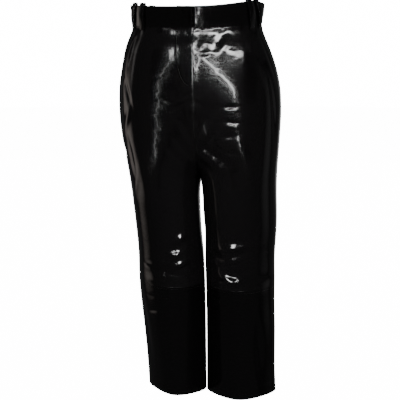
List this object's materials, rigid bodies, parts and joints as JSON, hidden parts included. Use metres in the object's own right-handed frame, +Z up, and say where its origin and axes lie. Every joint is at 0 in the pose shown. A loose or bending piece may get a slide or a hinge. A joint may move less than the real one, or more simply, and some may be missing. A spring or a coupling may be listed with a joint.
{
  "type": "leather trousers",
  "caption": "High-waisted straight trousers in glossy black leather with a lapped fly, belt loops, side pockets and a seam across each knee, filled out as worn.",
  "frame": {"origin": "middle of the waist, level with the seam under the waistband at the sides, where the wearer's waist holds the garment", "axes": "+Z up along the body, -Y to the front, +X to the wearer's left"},
  "size_m": [0.3676, 0.239, 0.9089],
  "materials": {
    "leather": "patent black leather, high gloss, fine crinkle",
    "waistband_leather": "patent black leather, high gloss, doubled",
    "zip_cloth": "black woven zip tape",
    "metal": "plain nickelled metal",
    "pocketing": "black pocketing cloth, matt"
  },
  "bodies": {
    "root": {"front_right_upper": "leather", "back_right_upper": "leather", "front_right_lower": "leather", "back_right_lower": "leather", "front_left_upper": "leather", "back_left_upper": "leather", "front_left_lower": "leather", "back_left_lower": "leather", "waistband_right": "waistband_leather", "waistband_left": "waistband_leather", "zip_tapes": "zip_cloth", "zip_teeth": "metal", "zip_slider": "metal", "zip_pull": "metal", "fly_shield": "leather", "waist_hook": "metal", "pocket_bag_right": "pocketing", "pocket_bag_left": "pocketing", "loop_front_right_inner": "leather", "loop_front_right_outer": "leather", "loop_front_left_inner": "leather", "loop_front_left_outer": "leather", "loop_back_right": "leather", "loop_back_left": "leather", "loop_back_middle": "leather"}
  },
  "joints": []
}
